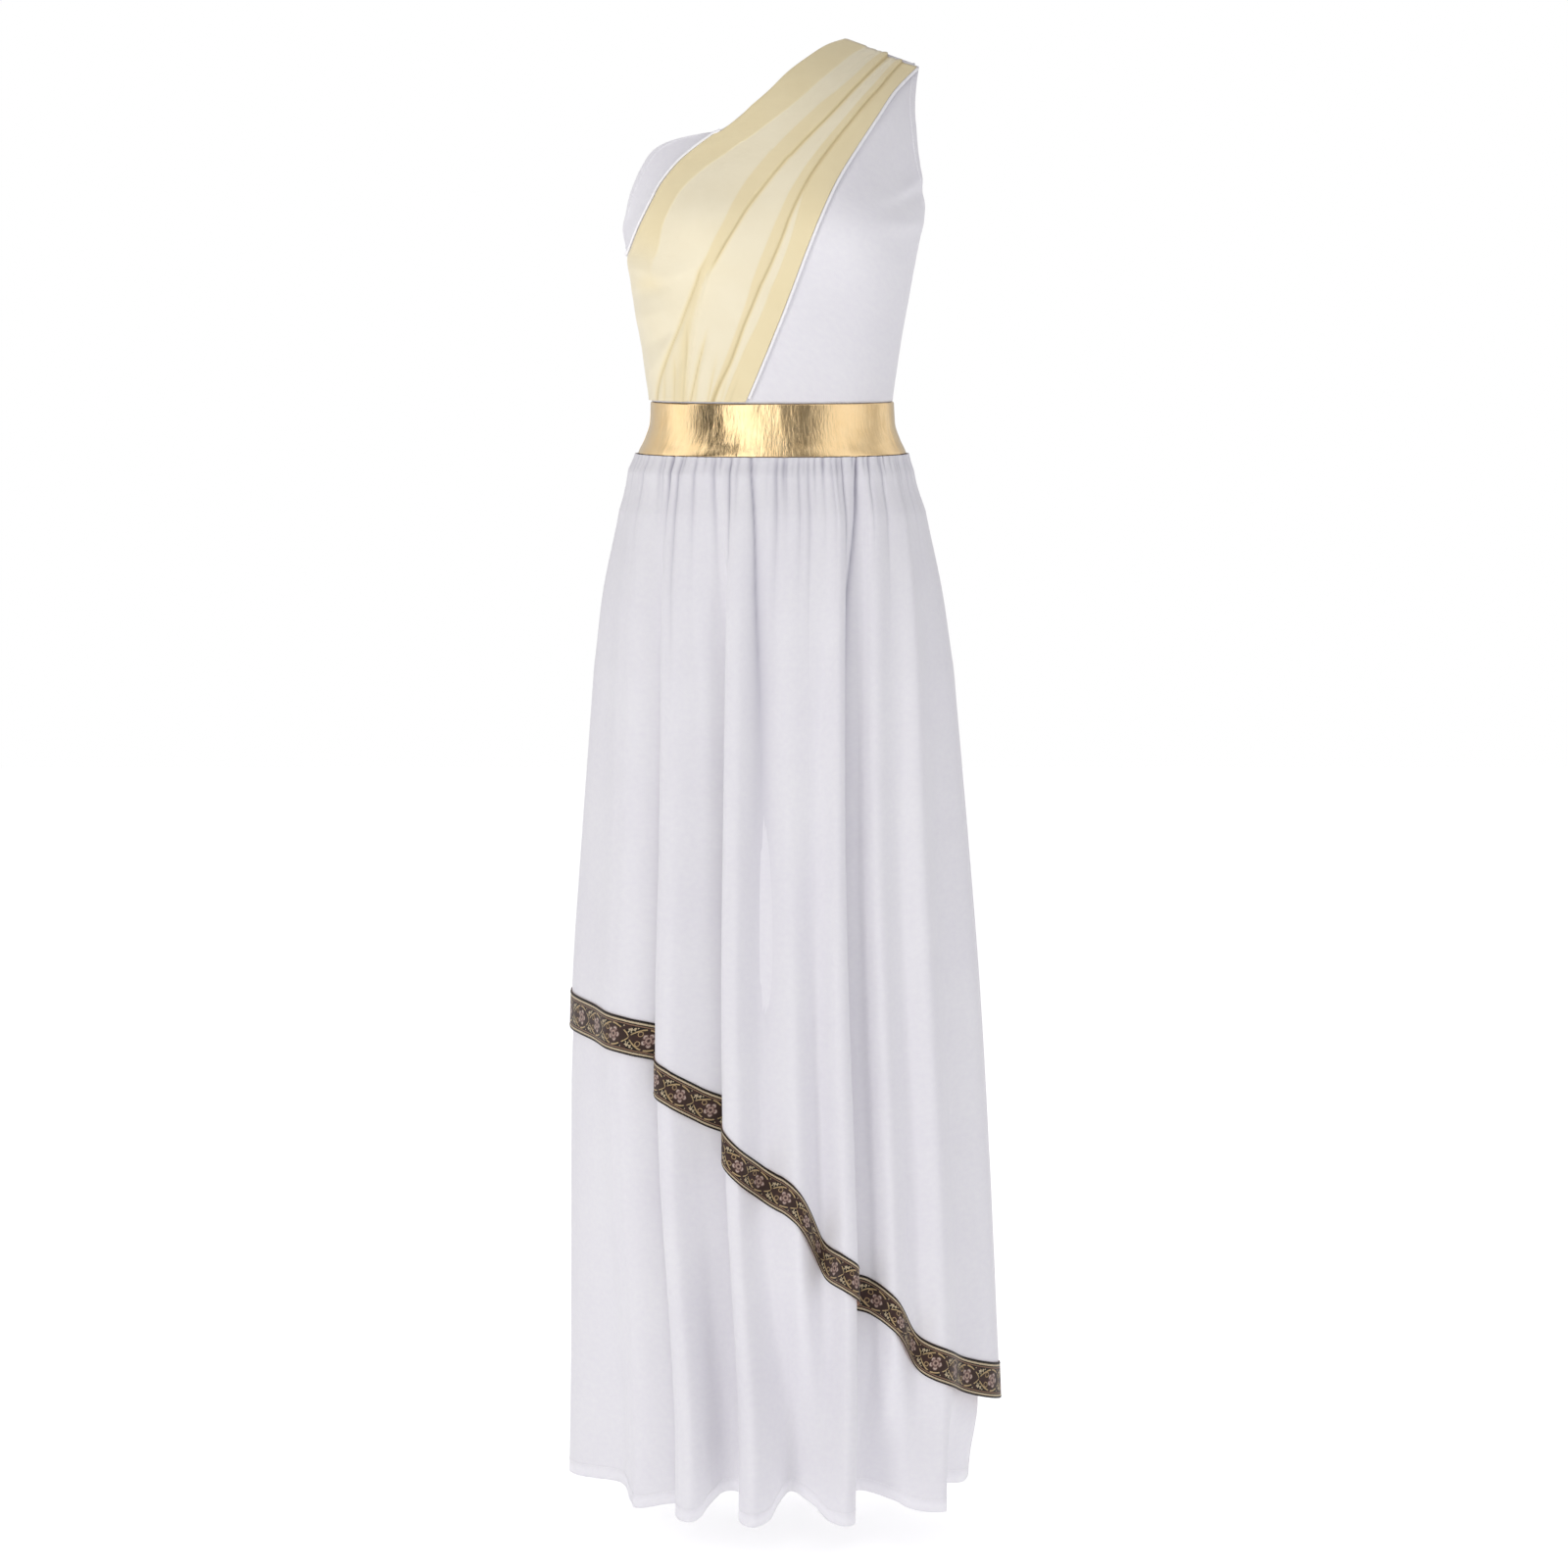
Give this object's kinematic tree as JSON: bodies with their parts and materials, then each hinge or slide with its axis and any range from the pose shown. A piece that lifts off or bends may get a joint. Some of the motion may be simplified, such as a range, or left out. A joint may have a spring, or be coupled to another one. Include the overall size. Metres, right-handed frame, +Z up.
{
  "type": "one-shoulder goddess costume",
  "caption": "Full-length one-shoulder dress with a diagonal drape, a foil waistband, a gathered overskirt with a slanted ribbon hem, and an underskirt.",
  "frame": {"origin": "middle of the left shoulder strap, on its underside at the shoulder seam, where the wearer's shoulder carries the costume", "axes": "+Z up, the front faces -Y, the wearer's left is +X"},
  "size_m": [0.417, 0.352, 1.3826],
  "materials": {
    "white_jersey": "matt knitted jersey",
    "underskirt_jersey": "matt knitted jersey",
    "cream_drape": "light soft cream cloth",
    "white_piping": "rolled white edge",
    "gold_foil": "metallic foil lame",
    "jacquard_ribbon": "woven jacquard ribbon with gold and dusty pink"
  },
  "bodies": {
    "root": {"bodice_front": "white_jersey", "bodice_back": "white_jersey", "drape": "cream_drape", "drape_piping_neck": "white_piping", "drape_piping_front": "white_piping", "waistband_front": "gold_foil", "waistband_back": "gold_foil", "overskirt_front": "white_jersey", "overskirt_back": "white_jersey", "underskirt_front": "underskirt_jersey", "underskirt_back": "underskirt_jersey", "trim_front": "jacquard_ribbon", "trim_back": "jacquard_ribbon"}
  },
  "joints": []
}
